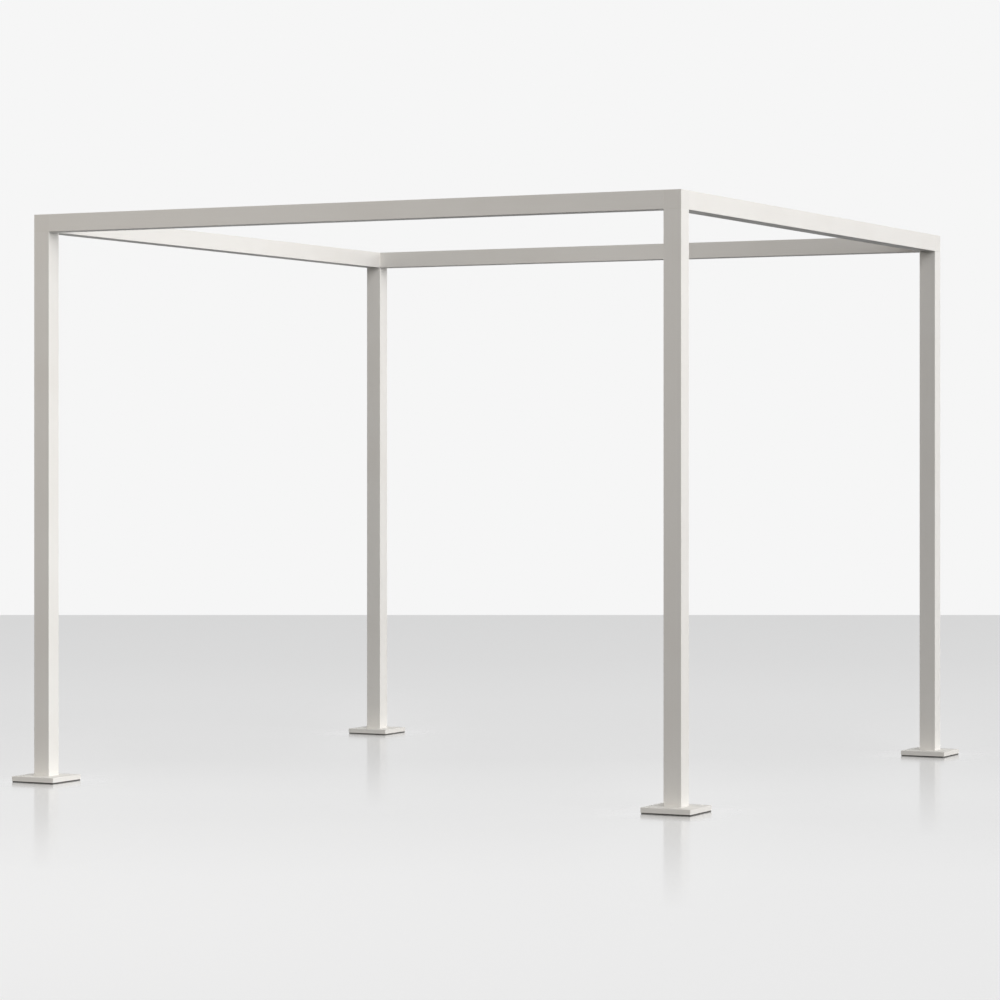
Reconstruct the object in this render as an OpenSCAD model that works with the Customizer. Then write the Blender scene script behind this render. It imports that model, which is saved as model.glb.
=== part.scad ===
// Pergola: an open square frame of aluminium tube on four base plates.
// Millimetres, +Z up. The origin is on the floor under the middle of the frame,
// +X points to the right of the frame and +Y to its back.

/* [Frame] */
// Outside width of the frame, left to right
frame_w = 3000; // [1800:10:4500]
// Outside depth of the frame, front to back
frame_d = 3000; // [1800:10:4500]
// Height from the floor to the top of the beams
frame_h = 2410; // [1800:5:3200]

/* [Tube] */
// Outside of the square tube that posts and beams are cut from
tube_w = 75; // [60:1:120]
// Wall of the tube
tube_wall = 3; // [2:0.5:5]
// Radius along the outer edges of the tube
tube_edge_r = 1.5; // [0.5:0.25:3]
// Radius in the inner corners of the tube
tube_inner_r = 1; // [0.5:0.25:3]

/* [Corner blocks] */
// How far each leg of a corner block reaches into its tube
leg_l = 110; // [100:5:180]
// Bevel where a corner block meets a tube, which shows as a fine line
seam_bevel = 0.4; // [0.2:0.1:1]

/* [Legs and sockets] */
// Wall of the legs and sockets
leg_wall = 4; // [3:0.5:6]
// Play on each side between a leg or socket and the tube round it
slide_play = 0.25; // [0.1:0.05:0.5]
// Extra radius on the edges of a leg, to clear the inner corners of the tube
edge_ease = 1; // [0.5:0.25:2]
// Length of the land, the raised band, at each end of a leg
land_l = 12; // [6:1:18]
// Depth of the relief between the two lands
land_relief = 0.5; // [0.3:0.1:1]
// Bevel at the tip of a leg, which leads it into the tube
lead_in = 3; // [1:0.5:3.5]

/* [Feet] */
// Side of a square base plate
plate_w = 210; // [180:5:300]
// Thickness of a base plate
plate_t = 20; // [10:1:30]
// Radius of the upright corners of a base plate
plate_corner_r = 2; // [1:0.5:8]
// Bevel round the top of a base plate
plate_bevel = 1; // [0.5:0.25:3]
// Height of the socket that stands on a base plate inside the post
socket_h = 150; // [110:5:250]
// Thickness of the rubber pad under a base plate
pad_t = 4; // [2:0.5:8]
// How far the rubber pad stays inside the edge of its plate
pad_inset = 2; // [0.5:0.5:6]

/* [Anchor holes] */
// Diameter of the holes for ground anchors
anchor_d = 14; // [9:0.5:18]
// From the edge of a base plate to the middle of an anchor hole
anchor_inset = 25; // [18:1:35]
// Bevel round the top of an anchor hole
anchor_bevel = 1; // [0.5:0.25:2]
// Extra radius of the hole in the rubber pad
pad_hole_play = 2; // [0.5:0.5:4]

/* [Screws] */
// Diameter of the clearance hole in the tube
screw_hole_d = 6.4; // [5.2:0.1:7]
// Diameter of the countersunk screw head
screw_head_d = 12; // [9:0.5:12.5]
// Diameter of the threaded hole in a leg
thread_d = 5; // [4:0.1:5.2]
// From the end of a tube to its first screw
screw_first = 30; // [20:1:40]
// From the first screw to the second
screw_pitch = 45; // [30:1:50]
// Diameter of the boss behind a threaded hole
boss_d = 14; // [10:1:20]
// How far a boss stands inside its leg
boss_h = 5; // [3:0.5:10]

/* [Hidden] */
$fn = 48;
COAT = "#E9E6E0";
BARE = "#B9BBBD";
RUBBER = "#2B2C2D";
// Overlap of shapes that are joined or cut, so that faces never only touch
bite = 1;

// What the feet and the beams leave for the tubes
seat_z = pad_t + plate_t;
post_l = frame_h - tube_w - seat_z;
beam_x_l = frame_w - 2 * tube_w;
beam_y_l = frame_d - 2 * tube_w;

// A leg slides into the tube, and its bore runs on through the corner block
leg_w = tube_w - 2 * tube_wall - 2 * slide_play;
leg_edge_r = tube_inner_r + edge_ease;
bore_w = leg_w - 2 * leg_wall;

anchor_reach = plate_w / 2 - anchor_inset;
sink_depth = (screw_head_d - screw_hole_d) / 2;
screw_places = [screw_first, screw_first + screw_pitch];

// Each corner: its side along X, its side along Y, its quarter turns from the front left
FRONT_LEFT = [-1, -1, 0];
FRONT_RIGHT = [1, -1, 1];
BACK_RIGHT = [1, 1, 2];
BACK_LEFT = [-1, 1, 3];

// Moves what is drawn round the Z axis to the middle of a post
module at_corner(corner) {
    translate([corner.x * (frame_w - tube_w) / 2, corner.y * (frame_d - tube_w) / 2, 0])
        children();
}

// Lays what stands along Z down along X or Y, with its screws on top
module along_x() rotate([90, 0, 90]) children();
module along_y() rotate([90, 0, 180]) children();

module rounded_square(side, r) {
    square([side - 2 * r, side], center = true);
    square([side, side - 2 * r], center = true);
    for (x = [-1, 1], y = [-1, 1])
        translate([x, y] * (side / 2 - r))
            circle(r);
}

// The same place on all four sides of a square
module on_four_corners(reach) {
    for (x = [-1, 1], y = [-1, 1])
        translate([x * reach, y * reach, 0])
            children();
}

// A hole through the +Y wall of a tube, for a screw whose head lies flush
module screw_hole() {
    translate([0, tube_w / 2, 0])
        rotate([90, 0, 0]) {
            translate([0, 0, -bite])
                cylinder(h = tube_wall + 2 * bite, d = screw_hole_d);
            cylinder(h = sink_depth, d1 = screw_head_d, d2 = screw_hole_d);
        }
}

// A length of tube from z = 0 up, drilled on its +Y side at both ends
module drilled_tube(length) {
    difference() {
        linear_extrude(length)
            difference() {
                rounded_square(tube_w, tube_edge_r);
                rounded_square(tube_w - 2 * tube_wall, tube_inner_r);
            }
        for (s = screw_places, z = [s, length - s])
            translate([0, 0, z])
                screw_hole();
    }
}

// Side view of a leg: a land at each end, a relief between them and a bevelled tip
module leg_side(length, root) {
    half = leg_w / 2;
    low = [
        [half, -root],
        [half, land_l],
        [half - land_relief, land_l + land_relief],
        [half - land_relief, length - lead_in - land_l - land_relief],
        [half, length - lead_in - land_l],
        [half, length - lead_in],
        [half - lead_in, length]
    ];
    count = len(low);
    polygon([each low, for (i = [1 : count]) [-low[count - i].x, low[count - i].y]]);
}

module leg_body(length, root) {
    intersection() {
        translate([0, 0, -root])
            linear_extrude(length + root)
                rounded_square(leg_w, leg_edge_r);
        intersection_for (turn = [0, 90])
            rotate([90, 0, turn])
                linear_extrude(leg_w, center = true)
                    leg_side(length, root);
    }
}

module leg_bore(length, root) {
    translate([0, 0, -root])
        linear_extrude(length + root + bite)
            rounded_square(bore_w, leg_edge_r);
}

// Bosses behind the threaded holes on the +Y side, and the holes themselves
module leg_bosses() {
    for (z = screw_places)
        translate([0, bore_w / 2 + bite, z])
            rotate([90, 0, 0])
                cylinder(h = boss_h + bite, d = boss_d);
}

module leg_threads() {
    for (z = screw_places)
        translate([0, leg_w / 2 + bite, z])
            rotate([90, 0, 0])
                cylinder(h = leg_wall + boss_h + 2 * bite, d = thread_d);
}

// Outline of a corner block from one side: one edge is rounded on into the edges of
// the tubes, and the other three are eased where the tubes meet it
module block_outline() {
    half = tube_w / 2;
    r = tube_edge_r;
    translate([r - half, r - half])
        circle(r);
    polygon([
        [r - half, -half],
        [half - seam_bevel, -half],
        [half, seam_bevel - half],
        [half, half - seam_bevel],
        [half - seam_bevel, half],
        [seam_bevel - half, half],
        [-half, half - seam_bevel],
        [-half, r - half],
        [r - half, r - half]
    ]);
}

module block_body() {
    intersection() {
        linear_extrude(tube_w, center = true)
            block_outline();
        rotate([0, 90, 0])
            linear_extrude(tube_w, center = true)
                block_outline();
        rotate([90, 0, 0])
            linear_extrude(tube_w, center = true)
                mirror([0, 1])
                    block_outline();
    }
}

// Places a leg on each of the three faces of a block that tubes meet. The leg into the
// post is turned back, so that the screws of every post face the back of the frame.
module on_three_faces(quarter) {
    along_x()
        translate([0, 0, tube_w / 2])
            children();
    along_y()
        translate([0, 0, tube_w / 2])
            children();
    rotate([0, 0, -90 * quarter])
        rotate([180, 0, 180])
            translate([0, 0, tube_w / 2])
                children();
}

module corner_block(corner) {
    color(COAT)
        at_corner(corner)
            translate([0, 0, frame_h - tube_w / 2])
                rotate([0, 0, 90 * corner.z])
                    difference() {
                        union() {
                            difference() {
                                union() {
                                    block_body();
                                    on_three_faces(corner.z)
                                        leg_body(leg_l, bite);
                                }
                                on_three_faces(corner.z)
                                    leg_bore(leg_l, (tube_w + bore_w) / 2);
                            }
                            on_three_faces(corner.z)
                                leg_bosses();
                        }
                        on_three_faces(corner.z)
                            leg_threads();
                    }
}

module post(corner) {
    color(COAT)
        at_corner(corner)
            translate([0, 0, seat_z])
                drilled_tube(post_l);
}

module beam_x(side) {
    color(COAT)
        translate([-beam_x_l / 2, side * (frame_d - tube_w) / 2, frame_h - tube_w / 2])
            along_x()
                drilled_tube(beam_x_l);
}

module beam_y(side) {
    color(COAT)
        translate([side * (frame_w - tube_w) / 2, -beam_y_l / 2, frame_h - tube_w / 2])
            along_y()
                drilled_tube(beam_y_l);
}

module plate_side() {
    half = plate_w / 2;
    polygon([
        [-half, 0],
        [half, 0],
        [half, plate_t - plate_bevel],
        [half - plate_bevel, plate_t],
        [plate_bevel - half, plate_t],
        [-half, plate_t - plate_bevel]
    ]);
}

module base_plate(corner) {
    color(COAT)
        at_corner(corner)
            translate([0, 0, pad_t])
                difference() {
                    intersection() {
                        linear_extrude(plate_t)
                            rounded_square(plate_w, plate_corner_r);
                        intersection_for (turn = [0, 90])
                            rotate([90, 0, turn])
                                linear_extrude(plate_w, center = true)
                                    plate_side();
                    }
                    on_four_corners(anchor_reach)
                        anchor_hole();
                }
}

module anchor_hole() {
    translate([0, 0, -bite])
        cylinder(h = plate_t + 2 * bite, d = anchor_d);
    translate([0, 0, plate_t - anchor_bevel])
        cylinder(h = anchor_bevel, d1 = anchor_d, d2 = anchor_d + 2 * anchor_bevel);
}

module foot_socket(corner) {
    color(BARE)
        at_corner(corner)
            translate([0, 0, seat_z])
                difference() {
                    union() {
                        difference() {
                            leg_body(socket_h, 0);
                            leg_bore(socket_h, bite);
                        }
                        leg_bosses();
                    }
                    leg_threads();
                }
}

module rubber_pad(corner) {
    color(RUBBER)
        at_corner(corner)
            linear_extrude(pad_t)
                difference() {
                    rounded_square(plate_w - 2 * pad_inset, plate_corner_r);
                    on_four_corners(anchor_reach)
                        circle(anchor_d / 2 + pad_hole_play);
                }
}

post(FRONT_LEFT);  // post_front_left
post(FRONT_RIGHT);  // post_front_right
post(BACK_LEFT);  // post_back_left
post(BACK_RIGHT);  // post_back_right
beam_x(-1);  // beam_front
beam_x(1);  // beam_back
beam_y(-1);  // beam_left
beam_y(1);  // beam_right
corner_block(FRONT_LEFT);  // corner_front_left
corner_block(FRONT_RIGHT);  // corner_front_right
corner_block(BACK_LEFT);  // corner_back_left
corner_block(BACK_RIGHT);  // corner_back_right
base_plate(FRONT_LEFT);  // base_plate_front_left
base_plate(FRONT_RIGHT);  // base_plate_front_right
base_plate(BACK_LEFT);  // base_plate_back_left
base_plate(BACK_RIGHT);  // base_plate_back_right
foot_socket(FRONT_LEFT);  // foot_socket_front_left
foot_socket(FRONT_RIGHT);  // foot_socket_front_right
foot_socket(BACK_LEFT);  // foot_socket_back_left
foot_socket(BACK_RIGHT);  // foot_socket_back_right
rubber_pad(FRONT_LEFT);  // rubber_pad_front_left
rubber_pad(FRONT_RIGHT);  // rubber_pad_front_right
rubber_pad(BACK_LEFT);  // rubber_pad_back_left
rubber_pad(BACK_RIGHT);  // rubber_pad_back_right
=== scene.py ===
# %% [markdown]
# # A pergola frame, dressed
# The object is an open frame of square aluminium tube: four posts, four beams flush with them,
# a cast block in each upper corner and a base plate under each post. Those pieces come from the
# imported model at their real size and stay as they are. What is left for Blender is the finish
# of each surface, the screws that hold the tubes, a floor, soft light and the camera.

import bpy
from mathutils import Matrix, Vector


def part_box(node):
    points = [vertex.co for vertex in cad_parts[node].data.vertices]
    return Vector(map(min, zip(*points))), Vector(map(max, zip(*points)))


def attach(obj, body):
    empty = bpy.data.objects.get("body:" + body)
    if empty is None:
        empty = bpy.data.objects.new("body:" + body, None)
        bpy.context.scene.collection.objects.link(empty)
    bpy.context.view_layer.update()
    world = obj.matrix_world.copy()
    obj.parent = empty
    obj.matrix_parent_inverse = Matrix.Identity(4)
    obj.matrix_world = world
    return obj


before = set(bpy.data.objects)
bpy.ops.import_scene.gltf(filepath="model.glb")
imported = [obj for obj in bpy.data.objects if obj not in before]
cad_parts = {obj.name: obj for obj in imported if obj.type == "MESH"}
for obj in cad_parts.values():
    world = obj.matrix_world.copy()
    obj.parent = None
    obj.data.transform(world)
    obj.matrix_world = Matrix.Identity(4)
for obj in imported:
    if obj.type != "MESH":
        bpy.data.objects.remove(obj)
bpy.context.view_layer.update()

# %% [markdown]
# ## Small helpers
# The model is in metres, but its details are known in millimetres and its colours as hex
# values, so both are turned in one place each. Every shader is a chain of nodes. Adding,
# setting and linking each one takes many lines, so one helper does all three, and a shader
# then reads as a short list.

# %% Units, colours and nodes
import math

import bmesh
import bpy
from mathutils import Matrix, Vector


def mm(length):
    """Millimetres to metres."""
    return length / 1000


def per_metre(size):
    """Scale of a noise whose features are this many millimetres across."""
    return 1000 / size


def linear(hex_colour):
    """An sRGB hex colour as linear RGBA."""
    shares = [int(hex_colour[i : i + 2], 16) / 255 for i in (1, 3, 5)]
    return (*((s / 12.92 if s <= 0.04045 else ((s + 0.055) / 1.055) ** 2.4) for s in shares), 1)


def add_node(tree, kind, inputs=None, stops=None, **settings):
    """Adds a node. An input is a value or another node's output, and stops fill a colour ramp."""
    made = tree.nodes.new("ShaderNode" + kind)
    for name, value in settings.items():
        setattr(made, name, value)
    for name, value in (inputs or {}).items():
        if isinstance(value, bpy.types.NodeSocket):
            tree.links.new(value, made.inputs[name])
        else:
            made.inputs[name].default_value = value
    for count, (position, hex_colour) in enumerate(sorted((stops or {}).items())):
        ramp = made.color_ramp.elements
        stop = ramp[count] if count < 2 else ramp.new(position)
        stop.position = position
        stop.color = linear(hex_colour)
    return made


def new_material(name):
    """An empty material, its node tree and its Object coordinates."""
    material = bpy.data.materials.new(name)
    material.use_nodes = True
    material.node_tree.nodes.clear()
    return material, material.node_tree, add_node(material.node_tree, "TexCoord").outputs["Object"]


# %% [markdown]
# ## The camera
# The photograph's upright edges stay upright, so the camera is level, and its framing comes
# from a lens shift and not from a tilt. Its place, turn and lens were fitted to the edges of
# the posts, beams and plates. The lens is kept as a length in pixels of a picture 1000 pixels
# a side, which is how such a fit gives it.

# %% Camera
PICTURE_SIDE = 1000
LENS_PX = 3396.4
HORIZON_ROW = 465.3
CAMERA_PLACE = Vector((6.757, -13.518, 1.344))
CAMERA_TURN = math.radians(26.68)
FARTHEST_SEEN = 200

camera_data = bpy.data.cameras.new("camera")
camera_data.lens = LENS_PX / PICTURE_SIDE * camera_data.sensor_width
camera_data.shift_y = (HORIZON_ROW - PICTURE_SIDE / 2) / PICTURE_SIDE
camera_data.clip_end = FARTHEST_SEEN
camera = bpy.data.objects.new("camera", camera_data)
camera.location = CAMERA_PLACE
camera.rotation_euler = (math.radians(90), 0, CAMERA_TURN)
bpy.context.scene.collection.objects.link(camera)
bpy.context.scene.camera = camera
print("lens", round(camera_data.lens, 1), "mm, shift", round(camera_data.shift_y, 4))

# %% [markdown]
# ## Powder coat
# The tubes, blocks and plates are aluminium with a baked polyester powder coat, off-white and
# satin. The powder melts into one smooth film, so up close it has orange peel, a shallow
# waviness a few millimetres across, and its gloss and tone drift a little from place to
# place. On an extruded tube the fine lines of the die still telegraph through the film, along
# the tube. So the same coat is made once for blocks and plates and once for each direction
# that a tube runs in, with a noise stretched along it. Real die lines lie under a millimetre
# apart, and these are drawn coarser so that they can show.

# %% Powder coat
COAT_PALE = "#E9E7E2"
COAT_DEEP = "#E4E1DB"
COAT_ROUGHNESS = (0.44, 0.54)
COAT_SPECULAR = 0.25
COAT_IOR = 1.5
ORANGE_PEEL = 3
PEEL_HEIGHT = 0.1
PEEL_RELIEF = 0.12
DRIFT = 380
DIE_LINES = 2.5
DIE_LINE_STRETCH = 0.004
DIE_LINE_TONE = 0.3
DIE_LINE_HEIGHT = 0.5
NOISE_LOW = 0.3
NOISE_HIGH = 0.7


def powder_coat(name, tube_runs=None):
    """Satin polyester powder coat: smooth, even and only faintly wavy."""
    material, tree, place = new_material("powder_coat_" + name)
    drift = add_node(tree, "TexNoise", {"Vector": place, "Scale": per_metre(DRIFT), "Detail": 2.0})
    peel = add_node(tree, "TexNoise", {"Vector": place, "Scale": per_metre(ORANGE_PEEL), "Detail": 1.0})
    tone = drift.outputs["Fac"]
    height = peel.outputs["Fac"]
    if tube_runs is not None:
        stretch = [DIE_LINE_STRETCH if axis == tube_runs else 1 for axis in "XYZ"]
        along = add_node(tree, "Mapping", {"Vector": place, "Scale": stretch}).outputs[0]
        lines = add_node(tree, "TexNoise", {"Vector": along, "Scale": per_metre(DIE_LINES), "Detail": 3.0})
        lines = lines.outputs["Fac"]
        lined_tone = {0: lines, 1: DIE_LINE_TONE, 2: tone}
        tone = add_node(tree, "Math", lined_tone, operation="MULTIPLY_ADD").outputs[0]
        lined_height = {0: lines, 1: DIE_LINE_HEIGHT, 2: height}
        height = add_node(tree, "Math", lined_height, operation="MULTIPLY_ADD").outputs[0]
    colour = add_node(tree, "ValToRGB", {"Fac": tone}, stops={NOISE_LOW: COAT_DEEP, NOISE_HIGH: COAT_PALE})
    glossiest, dullest = COAT_ROUGHNESS
    gloss = {
        "Value": drift.outputs["Fac"],
        "From Min": NOISE_LOW,
        "From Max": NOISE_HIGH,
        "To Min": glossiest,
        "To Max": dullest,
    }
    wavy = add_node(tree, "Bump", {"Height": height, "Strength": PEEL_RELIEF, "Distance": mm(PEEL_HEIGHT)})
    coat = {
        "Base Color": colour.outputs["Color"],
        "Roughness": add_node(tree, "MapRange", gloss).outputs["Result"],
        "Specular IOR Level": COAT_SPECULAR,
        "IOR": COAT_IOR,
        "Normal": wavy.outputs[0],
    }
    film = add_node(tree, "BsdfPrincipled", coat)
    add_node(tree, "OutputMaterial", {"Surface": film.outputs[0]})
    return material


coat_on_posts = powder_coat("on_posts", tube_runs="Z")
coat_on_beams_across = powder_coat("on_beams_across", tube_runs="X")
coat_on_beams_deep = powder_coat("on_beams_deep", tube_runs="Y")
coat_on_blocks_and_plates = powder_coat("on_blocks_and_plates")
print("the coat drifts from", COAT_DEEP, "to", COAT_PALE, "over", DRIFT, "mm")

# %% [markdown]
# ## Mill aluminium
# The sockets inside the post feet are bare aluminium, as it leaves the mill. A plain metal with
# one roughness would do, but extruded metal has fine streaks along its length. One noise,
# stretched along the post, gives them to the tone, the gloss and the relief at once, so that
# the three agree.

# %% Mill aluminium
STREAKS = 1.5
STREAK_STRETCH = 0.01
STREAK_HEIGHT = 0.05
STREAK_RELIEF = 0.15
ALUMINIUM_TONES = {0: "#B2B4B6", 1: "#CDCFD0"}
ALUMINIUM_ROUGHNESS = (0.3, 0.5)


def mill_aluminium():
    """Bare extruded aluminium: pale grey metal with a soft, streaky gloss."""
    material, tree, place = new_material("mill_aluminium")
    along = add_node(tree, "Mapping", {"Vector": place, "Scale": (1, 1, STREAK_STRETCH)}).outputs[0]
    streaks = add_node(tree, "TexNoise", {"Vector": along, "Scale": per_metre(STREAKS), "Detail": 4.0})
    streaks = streaks.outputs["Fac"]
    glossiest, dullest = ALUMINIUM_ROUGHNESS
    gloss = add_node(tree, "MapRange", {"Value": streaks, "To Min": glossiest, "To Max": dullest})
    relief = {"Height": streaks, "Strength": STREAK_RELIEF, "Distance": mm(STREAK_HEIGHT)}
    metal = {
        "Base Color": add_node(tree, "ValToRGB", {"Fac": streaks}, stops=ALUMINIUM_TONES).outputs["Color"],
        "Metallic": 1.0,
        "Roughness": gloss.outputs["Result"],
        "Normal": add_node(tree, "Bump", relief).outputs[0],
    }
    bare = add_node(tree, "BsdfPrincipled", metal)
    add_node(tree, "OutputMaterial", {"Surface": bare.outputs[0]})
    return material


bare_aluminium = mill_aluminium()
print("the streaks of the mill are", STREAKS, "mm wide and", STREAKS / STREAK_STRETCH, "mm long")

# %% [markdown]
# ## Rubber
# The pads under the plates are EPDM rubber, cut from sheet. It is nearly black when new and dull, with a fine
# grain, and outdoors dust soon greys it. The pads and their near-black tone also stand for the dark shade
# line under each plate, so they are partly a real part and partly painted shade. The grain is a small noise
# in the relief, and the dust a larger one in the tone, because a single noise would tie the two together.

# %% Rubber
RUBBER_GRAIN = 1.2
GRAIN_HEIGHT = 0.2
GRAIN_RELIEF = 0.3
DUST = 30
# The near-black tones are partly the rubber's own colour and partly painted shade: the dark line under each
# plate.
DUSTY_TONES = {0.35: "#3E3C39", 0.75: "#5B5853"}
RUBBER_ROUGHNESS = 0.8
RUBBER_SPECULAR = 0.3


def epdm_rubber():
    """Sheet EPDM: near black, dull, with a fine grain and a little dust on it; its dark tone is also painted
    shade under the plates.
    """
    material, tree, place = new_material("epdm_rubber")
    grain = add_node(tree, "TexNoise", {"Vector": place, "Scale": per_metre(RUBBER_GRAIN), "Detail": 3.0})
    relief = {"Height": grain.outputs["Fac"], "Strength": GRAIN_RELIEF, "Distance": mm(GRAIN_HEIGHT)}
    dust = add_node(tree, "TexNoise", {"Vector": place, "Scale": per_metre(DUST), "Detail": 4.0})
    colour = add_node(tree, "ValToRGB", {"Fac": dust.outputs["Fac"]}, stops=DUSTY_TONES)
    rubber = {
        "Base Color": colour.outputs["Color"],
        "Roughness": RUBBER_ROUGHNESS,
        "Specular IOR Level": RUBBER_SPECULAR,
        "Normal": add_node(tree, "Bump", relief).outputs[0],
    }
    sheet = add_node(tree, "BsdfPrincipled", rubber)
    add_node(tree, "OutputMaterial", {"Surface": sheet.outputs[0]})
    return material


rubber = epdm_rubber()
print("dust greys the rubber from", *DUSTY_TONES.values())

# %% [markdown]
# ## Stainless steel
# The screws are turned from A2 stainless steel, which is warmer and darker than aluminium. Its
# tool marks are too fine to show, so they are drawn several times as wide, as a noise that
# varies the tone and the gloss. It keeps the head from being a mirror, and still lets it glint.

# %% Stainless steel
TOOL_MARKS = 0.6
STEEL_TONES = {0: "#A9A7A3", 1: "#C4C2BE"}
STEEL_ROUGHNESS = (0.22, 0.4)


def stainless_steel():
    """Turned A2 stainless steel: a warm grey metal with fine tool marks."""
    material, tree, place = new_material("stainless_steel")
    marks = add_node(tree, "TexNoise", {"Vector": place, "Scale": per_metre(TOOL_MARKS), "Detail": 3.0})
    marks = marks.outputs["Fac"]
    glossiest, dullest = STEEL_ROUGHNESS
    gloss = add_node(tree, "MapRange", {"Value": marks, "To Min": glossiest, "To Max": dullest})
    metal = {
        "Base Color": add_node(tree, "ValToRGB", {"Fac": marks}, stops=STEEL_TONES).outputs["Color"],
        "Metallic": 1.0,
        "Roughness": gloss.outputs["Result"],
    }
    bare = add_node(tree, "BsdfPrincipled", metal)
    add_node(tree, "OutputMaterial", {"Surface": bare.outputs[0]})
    return material


screw_steel = stainless_steel()
print("the steel's roughness runs from", *STEEL_ROUGHNESS)

# %% [markdown]
# ## Dress the imported pieces
# A piece's name says what it is and which way its tube runs, so the name picks its finish.
# Only the material slot changes: the mesh and the place stay as imported.

# %% Materials on the imported pieces
FINISHES = {
    "post_": coat_on_posts,
    "beam_front": coat_on_beams_across,
    "beam_back": coat_on_beams_across,
    "beam_left": coat_on_beams_deep,
    "beam_right": coat_on_beams_deep,
    "corner_": coat_on_blocks_and_plates,
    "base_plate_": coat_on_blocks_and_plates,
    # The rubber pads' dark finish also serves as painted shade under the plates.
    "foot_socket_": bare_aluminium,
    "rubber_pad_": rubber,
}

for start, material in FINISHES.items():
    for name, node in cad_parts.items():
        if name.startswith(start):
            node.data.materials.clear()
            node.data.materials.append(material)
print("dressed", len(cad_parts), "pieces in", len(set(FINISHES.values())), "finishes")

# %% [markdown]
# ## The screws
# Each tube is held to the leg inside it by two M6 countersunk screws at each end, on the side
# that is seldom seen: the tops of the beams and the back of the posts. One screw is modelled
# as it is turned: a thin rim, a cone at 90 degrees, a short shank, a core in place of the thread
# that nobody sees, and a bevelled tip. It is a cylinder whose lower face is extruded and scaled
# step by step, and a six-sided cutter makes the socket in its head with a Boolean modifier. An
# operator acts on all that is selected, and the loaded pieces are, so a helper first leaves a
# single object picked.

# %% One screw
HEAD_D = 11.4
HEAD_RIM = 0.2
HEAD_SUNK = 0.1
SHANK_D = 6
CORE_D = 4.9
SHANK_L = 0.2
SCREW_L = 16
TIP_BEVEL = 0.6
SOCKET_ACROSS = 4
SOCKET_DEEP = 2.5
BREAK_EDGE = 0.08
BREAK_STEPS = 2
ROUND_SIDES = 48
SHARP_FROM = math.radians(40)
SMOOTH_UP_TO = math.radians(30)
HAIR = 0.001


def pick(obj):
    """Leaves one object selected and active."""
    bpy.ops.object.select_all(action="DESELECT")
    obj.select_set(True)
    bpy.context.view_layer.objects.active = obj
    return obj


def select_lowest_face(mesh):
    """Selects only the face that looks straight down at the lowest level."""
    lowest = min(v.co.z for v in mesh.verts)
    for face in mesh.faces:
        face.select_set(False)
    for face in mesh.faces:
        looks_down = face.normal.z < -0.99
        if looks_down and face.calc_center_median().z - lowest < mm(HAIR):
            face.select_set(True)


def turn_down(obj, steps):
    """Draws the lowest face down in steps, each a depth in millimetres and a share of its width."""
    bpy.ops.object.mode_set(mode="EDIT")
    select_lowest_face(bmesh.from_edit_mesh(obj.data))
    bmesh.update_edit_mesh(obj.data)
    for depth, share in steps:
        bpy.ops.mesh.extrude_region_move(TRANSFORM_OT_translate={"value": (0, 0, -mm(depth))})
        bpy.ops.transform.resize(value=(share, share, 1))
    bpy.ops.object.mode_set(mode="OBJECT")


def make_screw():
    """A countersunk screw that points down, with its head just under z = 0."""
    bpy.ops.object.select_all(action="DESELECT")
    bpy.ops.mesh.primitive_cylinder_add(
        vertices=ROUND_SIDES,
        radius=mm(HEAD_D / 2),
        depth=mm(HEAD_RIM),
        location=(0, 0, -mm(HEAD_SUNK + HEAD_RIM / 2)),
    )
    screw = bpy.context.object
    bpy.ops.object.transform_apply(location=True)
    cone = (HEAD_D - SHANK_D) / 2
    rest = SCREW_L - HEAD_RIM - cone - SHANK_L - TIP_BEVEL
    turn_down(
        screw,
        [
            (cone, SHANK_D / HEAD_D),
            (SHANK_L, 1),
            (0, CORE_D / SHANK_D),
            (rest, 1),
            (TIP_BEVEL, 1 - 2 * TIP_BEVEL / CORE_D),
        ],
    )
    bpy.ops.object.select_all(action="DESELECT")
    bpy.ops.mesh.primitive_cylinder_add(
        vertices=6,
        radius=mm(SOCKET_ACROSS / math.sqrt(3)),
        depth=mm(2 * SOCKET_DEEP),
        location=(0, 0, -mm(HEAD_SUNK)),
    )
    cutter = bpy.context.object
    pick(screw)
    socket = screw.modifiers.new("socket", "BOOLEAN")
    socket.operation = "DIFFERENCE"
    socket.object = cutter
    bpy.ops.object.modifier_apply(modifier="socket")
    bpy.data.objects.remove(cutter)
    edges = screw.modifiers.new("broken_edges", "BEVEL")
    edges.width = mm(BREAK_EDGE)
    edges.segments = BREAK_STEPS
    edges.limit_method = "ANGLE"
    edges.angle_limit = SHARP_FROM
    bpy.ops.object.modifier_apply(modifier="broken_edges")
    bpy.ops.object.shade_smooth_by_angle(angle=SMOOTH_UP_TO)
    return screw


screw = make_screw()
screw.data.materials.append(screw_steel)
print("one screw has", len(screw.data.polygons), "faces, length", round(screw.dimensions.z * 1000, 2), "mm")

# %% [markdown]
# The screw is then copied to its holes. Their places follow from each tube's own box: on the
# middle line of the top or back face, at two distances from each end. Screws are driven home
# by hand, so their sockets don't line up, and each is turned by a golden angle from the last.
# The four screws of a tube are joined into one piece.

# %% The screws in their holes
UP = Vector((0, 0, 1))
BACK = Vector((0, 1, 0))
SCREW_PLACES = (30, 75)
GOLDEN_ANGLE = math.radians(137.5)


def screw_spots(node, outward):
    """The points on a tube's outer face where its screws go."""
    low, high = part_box(node)
    run = max(range(3), key=lambda axis: high[axis] - low[axis])
    face = (low + high) / 2 + Vector([out * (high[i] - low[i]) / 2 for i, out in enumerate(outward)])
    spots = []
    for place in SCREW_PLACES:
        for end in (low[run] + mm(place), high[run] - mm(place)):
            spot = face.copy()
            spot[run] = end
            spots.append(spot)
    return spots


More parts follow.
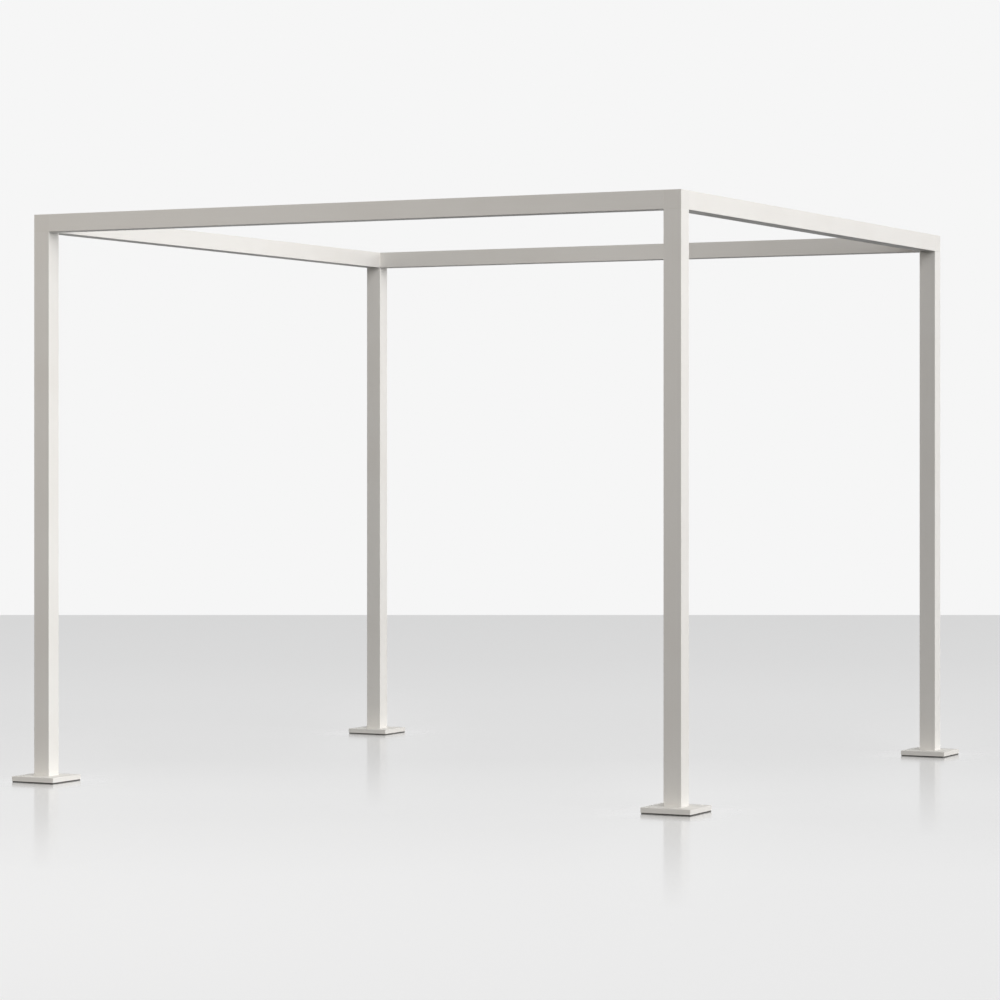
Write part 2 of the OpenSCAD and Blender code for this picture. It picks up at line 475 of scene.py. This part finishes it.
def screws_for(node, outward, first_turn):
    """Four copies of the screw in one tube, joined into one piece that rides on the frame."""
    copies = []
    for count, spot in enumerate(screw_spots(node, outward)):
        copy = screw.copy()
        copy.data = screw.data.copy()
        bpy.context.scene.collection.objects.link(copy)
        turn = Matrix.Rotation(GOLDEN_ANGLE * (first_turn + count), 4, "Z")
        lean = UP.rotation_difference(outward).to_matrix().to_4x4()
        copy.matrix_world = Matrix.Translation(spot) @ lean @ turn
        copies.append(copy)
    joined = pick(copies[0])
    for copy in copies:
        copy.select_set(True)
    bpy.ops.object.join()
    bpy.ops.object.transform_apply(location=True, rotation=True, scale=True)
    joined.name = joined.data.name = "screws_" + node
    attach(joined, "root")
    return len(copies)


made = 0
for name in sorted(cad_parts):
    if name.startswith("beam_"):
        made += screws_for(name, UP, made)
    elif name.startswith("post_"):
        made += screws_for(name, BACK, made)
bpy.data.objects.remove(screw)
print("screws", made)

# %% [markdown]
# ## The floor
# The photograph has a pale floor that ends in a straight line against a white wall. A square
# plane would do for that one view, but from elsewhere its corners would show. So the floor is a
# round disc, cut straight across where the photograph's floor ends. The row of that line, the
# lens and the camera's height give the distance to the cut.

# %% Floor
FLOOR_LINE_ROW = 615
FLOOR_RADIUS = 16.1
FLOOR_SIDES = 128
view_direction = Vector((-math.sin(CAMERA_TURN), math.cos(CAMERA_TURN), 0))
line_distance = LENS_PX * CAMERA_PLACE.z / (FLOOR_LINE_ROW - HORIZON_ROW)
floor_edge = CAMERA_PLACE.dot(view_direction) + line_distance

bpy.ops.object.select_all(action="DESELECT")
bpy.ops.mesh.primitive_circle_add(vertices=FLOOR_SIDES, radius=FLOOR_RADIUS, fill_type="NGON")
floor = bpy.context.object
floor.name = "floor"
bpy.ops.object.mode_set(mode="EDIT")
bpy.ops.mesh.select_all(action="SELECT")
bpy.ops.mesh.bisect(plane_co=view_direction * floor_edge, plane_no=view_direction, clear_outer=True)
bpy.ops.object.mode_set(mode="OBJECT")
print("the floor ends", round(floor_edge, 2), "m behind the middle of the frame")

# %% [markdown]
# ## What the camera sees of the floor
# The photograph's floor is a neutral pale grey that gets brighter towards the camera. Lamps
# could shade it so, but they also light the frame and would have to serve both. So the tone is
# a colour ramp over the distance along the line of sight. Light Path tells the rays that show a
# surface from those that light one, so that the two can meet different tones.

# %% The floor's tones
FLOOR_TONES = {
    -4.0: "#EAEAEA",
    -2.2: "#E6E6E6",
    -1.2: "#E6E6E6",
    0.4: "#E1E1E1",
    4.3: "#E0E0E0",
    8.2: "#DCDCDC",
    15.4: "#D9D9D9",
}


def floor_tone(tree, place):
    """The floor's tone by the metres behind the middle of the frame, as the camera looks."""
    turned = add_node(tree, "Mapping", {"Vector": place, "Rotation": (0, 0, -CAMERA_TURN)})
    away = add_node(tree, "SeparateXYZ", {"Vector": turned.outputs[0]}).outputs["Y"]
    near, far = min(FLOOR_TONES), max(FLOOR_TONES)
    share = add_node(tree, "MapRange", {"Value": away, "From Min": near, "From Max": far})
    stops = {(distance - near) / (far - near): tone for distance, tone in FLOOR_TONES.items()}
    return add_node(tree, "ValToRGB", {"Fac": share.outputs["Result"]}, stops=stops).outputs["Color"]


def seen_ray(tree):
    """1 for a ray that shows a surface, directly or in gloss or glass, and 0 for one that lights."""
    path = add_node(tree, "LightPath").outputs
    gloss = add_node(tree, "Math", {0: path["Is Camera Ray"], 1: path["Is Glossy Ray"]}, operation="MAXIMUM")
    glass = add_node(tree, "Math", {0: gloss.outputs[0], 1: path["Is Transmission Ray"]}, operation="MAXIMUM")
    return glass.outputs[0]


# %% [markdown]
# ## Where the floor mirrors
# Each foot has a faint image in the floor: sharp and dark by the plate, and gone a little way
# up the post. A glossy floor mirrors the whole post, right up to the beams. So the mirror is
# laid only where those images are. Four round gradients are each stretched from a foot towards
# the camera, as far as the image of the lowest part of its post reaches, and a rim around each
# plate mirrors more. All four plates lie alike about the middle, so the rim is worked out once,
# from the absolute value of the place.

# %% The mirror's share
MIRROR = 0.45
MIRROR_TOP = 0.38
MIRROR_SIDE = 0.5
RIM_MIRROR = 0.5
RIM = 200

plates = sorted(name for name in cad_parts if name.startswith("base_plate_"))


def by_the_plates(tree, place, reach):
    """1 at the edge of a base plate, and 0 from this many millimetres on."""
    low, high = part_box("base_plate_back_right")
    foot = (low + high) / 2
    half = (high - low) / 2
    quarter = add_node(tree, "VectorMath", {0: place}, operation="ABSOLUTE")
    to_foot = {0: quarter.outputs[0], 1: (foot.x, foot.y, 0)}
    apart = add_node(tree, "VectorMath", to_foot, operation="SUBTRACT")
    side = add_node(tree, "VectorMath", {0: apart.outputs[0]}, operation="ABSOLUTE")
    to_edge = {0: side.outputs[0], 1: (half.x, half.y, 0)}
    past = add_node(tree, "VectorMath", to_edge, operation="SUBTRACT")
    outside = add_node(tree, "VectorMath", {0: past.outputs[0], 1: (0, 0, 0)}, operation="MAXIMUM")
    distance = add_node(tree, "VectorMath", {0: outside.outputs[0]}, operation="LENGTH")
    limits = {"Value": distance.outputs["Value"], "From Max": mm(reach), "To Min": 1, "To Max": 0}
    return add_node(tree, "MapRange", limits).outputs["Result"]


def image_of_post(tree, place, plate):
    """1 at a foot, and 0 where the image of the lowest part of its post ends."""
    low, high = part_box(plate)
    foot = (low + high) / 2
    to_camera = (CAMERA_PLACE - foot).xy
    reach = to_camera.length * MIRROR_TOP / (CAMERA_PLACE.z + MIRROR_TOP)
    stretch = {
        "Vector": place,
        "Location": (foot.x, foot.y, 0),
        "Rotation": (0, 0, math.atan2(to_camera.y, to_camera.x)),
        "Scale": (reach, MIRROR_SIDE, 1),
    }
    patch = add_node(tree, "Mapping", stretch, vector_type="TEXTURE").outputs[0]
    return add_node(tree, "TexGradient", {"Vector": patch}, gradient_type="SPHERICAL").outputs["Fac"]


def mirror_share(tree, place):
    """How much the floor mirrors: the strongest of the four images, and the rims of the plates."""
    share = 0.0
    for plate in plates:
        image = image_of_post(tree, place, plate)
        share = add_node(tree, "Math", {0: share, 1: image}, operation="MAXIMUM").outputs[0]
    rim = add_node(tree, "Math", {0: by_the_plates(tree, place, RIM), 1: RIM_MIRROR}, operation="MULTIPLY")
    both = {0: share, 1: MIRROR, 2: rim.outputs[0]}
    return add_node(tree, "Math", both, operation="MULTIPLY_ADD").outputs[0]


# %% [markdown]
# ## The floor's material
# Most of the floor's tone is its own light, and a share of it is lit, which keeps the frame's
# soft shadow. The share is divided by how bright the lamps make a white floor, so that own and
# lit tone add up to the tone wanted. The colour of the mirror makes the image of the wall as
# bright as the floor around it, so that the mirror shows nothing but the frame. What lights
# the frame from below is a third, matt tone: dark, because the undersides of the beams are
# dark in the photograph, and paler by the plates, where the photograph's posts get brighter.

# %% The floor's material
LIT_SHARE = 0.2
LIT_LEVEL = (0.668, 0.662, 0.66)
MIRROR_WHITE = 0.88
MIRROR_ROUGHNESS = 0.12
BOUNCE = 0.04
BOUNCE_BY_PLATE = 0.36
BOUNCE_REACH = 600


def waxed_floor():
    """A pale floor: partly its own light, partly lit, and polished by the feet."""
    material, tree, place = new_material("waxed_floor")
    tone = floor_tone(tree, place)
    own = add_node(tree, "Emission", {"Color": tone, "Strength": 1 - LIT_SHARE})
    lit_share = [LIT_SHARE / level for level in LIT_LEVEL]
    lit_tone = add_node(tree, "VectorMath", {0: tone, 1: lit_share}, operation="MULTIPLY")
    lit = add_node(tree, "BsdfDiffuse", {"Color": lit_tone.outputs[0]})
    matt = add_node(tree, "AddShader", {0: own.outputs[0], 1: lit.outputs[0]})
    mirror_tone = add_node(tree, "VectorMath", {0: tone, "Scale": 1 / MIRROR_WHITE}, operation="SCALE")
    polish = {"Color": mirror_tone.outputs[0], "Roughness": MIRROR_ROUGHNESS}
    mirror = add_node(tree, "BsdfAnisotropic", polish)
    share = mirror_share(tree, place)
    seen = add_node(tree, "MixShader", {0: share, 1: matt.outputs[0], 2: mirror.outputs[0]})
    near = by_the_plates(tree, place, BOUNCE_REACH)
    bounce = add_node(tree, "Math", {0: near, 1: BOUNCE_BY_PLATE, 2: BOUNCE}, operation="MULTIPLY_ADD")
    unseen = add_node(tree, "BsdfDiffuse", {"Color": bounce.outputs[0]})
    both = add_node(tree, "MixShader", {0: seen_ray(tree), 1: unseen.outputs[0], 2: seen.outputs[0]})
    add_node(tree, "OutputMaterial", {"Surface": both.outputs[0]})
    material.cycles.emission_sampling = "NONE"
    return material


floor.data.materials.append(waxed_floor())
print("the floor mirrors by", len(plates), "plates, and", LIT_SHARE, "of its tone is lit")

# %% [markdown]
# ## The world
# The photograph's wall is one even off-white, without a shadow or an edge. A plane behind the
# frame would be missed by other views, so the world stands for it. The rays that show a
# surface see the wall, and those that light the frame get a weak, even light instead.

# %% World
WALL = "#F6F6F6"
EVEN_LIGHT = 0.06

world = bpy.data.worlds.new("studio")
bpy.context.scene.world = world
world.use_nodes = True
tree = world.node_tree
tree.nodes.clear()
even = add_node(tree, "Background", {"Color": linear("#FFFFFF"), "Strength": EVEN_LIGHT})
wall = add_node(tree, "Background", {"Color": linear(WALL), "Strength": 1.0})
both = add_node(tree, "MixShader", {0: seen_ray(tree), 1: even.outputs[0], 2: wall.outputs[0]})
add_node(tree, "OutputWorld", {"Surface": both.outputs[0]})
print("wall", WALL, "and even light", EVEN_LIGHT)

# %% [markdown]
# ## The lamps
# The light is soft: the right faces are twice as bright as the front ones, the tops of the
# plates lie between them, and no shadow has an edge. Small lamps would cast hard shadows, so
# every source is wide. Suns light all the posts alike, and round softboxes light what is near
# them more. The key and the rim light the right faces, and the back and left suns the sides
# that the photograph doesn't show. Two softboxes light the front. Three more stand close: two
# within the frame, for the inner faces of the left posts and of the back beam, and one on the
# right, for the top of the nearest post. Those three are flagged off the floor, where each
# would leave a pool of light. No lamp shows in gloss, so the floor mirrors only the frame and
# the wall.

# %% Lamps
SOFTNESS = 50


def far_softbox(name, turn, height, level, tint):
    """A far, soft source. Turn goes from the front to the right, and both angles are in degrees."""
    data = bpy.data.lights.new(name, "SUN")
    data.energy = level * math.pi
    data.angle = math.radians(SOFTNESS)
    data.color = linear(tint)[:3]
    lamp = bpy.data.objects.new(name, data)
    lamp.rotation_euler = (math.radians(90 - height), 0, math.radians(turn))
    lamp.visible_glossy = False
    bpy.context.scene.collection.objects.link(lamp)


def near_softbox(name, place, aim, size, level, tint):
    """A round softbox, its size in metres, that gives its level where it aims."""
    data = bpy.data.lights.new(name, "AREA")
    data.shape = "DISK"
    data.size = size
    ray = Vector(place) - Vector(aim)
    data.energy = level * (math.pi * ray.length) ** 2
    data.color = linear(tint)[:3]
    lamp = bpy.data.objects.new(name, data)
    lamp.location = place
    lamp.rotation_euler = ray.to_track_quat("Z", "Y").to_euler()
    lamp.visible_camera = False
    lamp.visible_glossy = False
    bpy.context.scene.collection.objects.link(lamp)
    return lamp


def keep_off(lamp, obj):
    """Flags a lamp, so that none of its light falls on the object."""
    flagged = bpy.data.collections.new("not_lit_by_" + lamp.name)
    flagged.objects.link(obj)
    flagged.collection_objects[0].light_linking.link_state = "EXCLUDE"
    lamp.light_linking.receiver_collection = flagged


far_softbox("key", turn=60, height=27, level=0.565, tint="#FFFEFF")
far_softbox("rim", turn=110, height=10, level=0.42, tint="#FFFEFF")
far_softbox("back", turn=170, height=10, level=0.55, tint="#FFFFFF")
far_softbox("left", turn=-90, height=10, level=0.35, tint="#FFFFFF")
near_softbox("front", place=(0, -7, 4), aim=(0, 0, 1.2), size=3, level=0.113, tint="#FFFAF5")
near_softbox("front_left", place=(-4.5, -5.5, 3.5), aim=(0, 0, 1.2), size=3, level=0.06, tint="#FFF5E6")
low_within = near_softbox(
    "low_within", place=(0.6, -0.9, 0.9), aim=(-1.46, -0.9, 0.9), size=1.2, level=0.155, tint="#F6FDFF"
)
high_within = near_softbox(
    "high_within", place=(0, 0.2, 1.9), aim=(-0.8, 1.46, 2.3), size=1, level=0.06, tint="#FFF8F2"
)
right = near_softbox(
    "right", place=(3.5, -1.5, 2.2), aim=(1.5, -1.46, 2.1), size=1, level=0.08, tint="#FFFFFA"
)
for lamp in (low_within, high_within, right):
    keep_off(lamp, floor)

bpy.context.scene.view_settings.view_transform = "Standard"
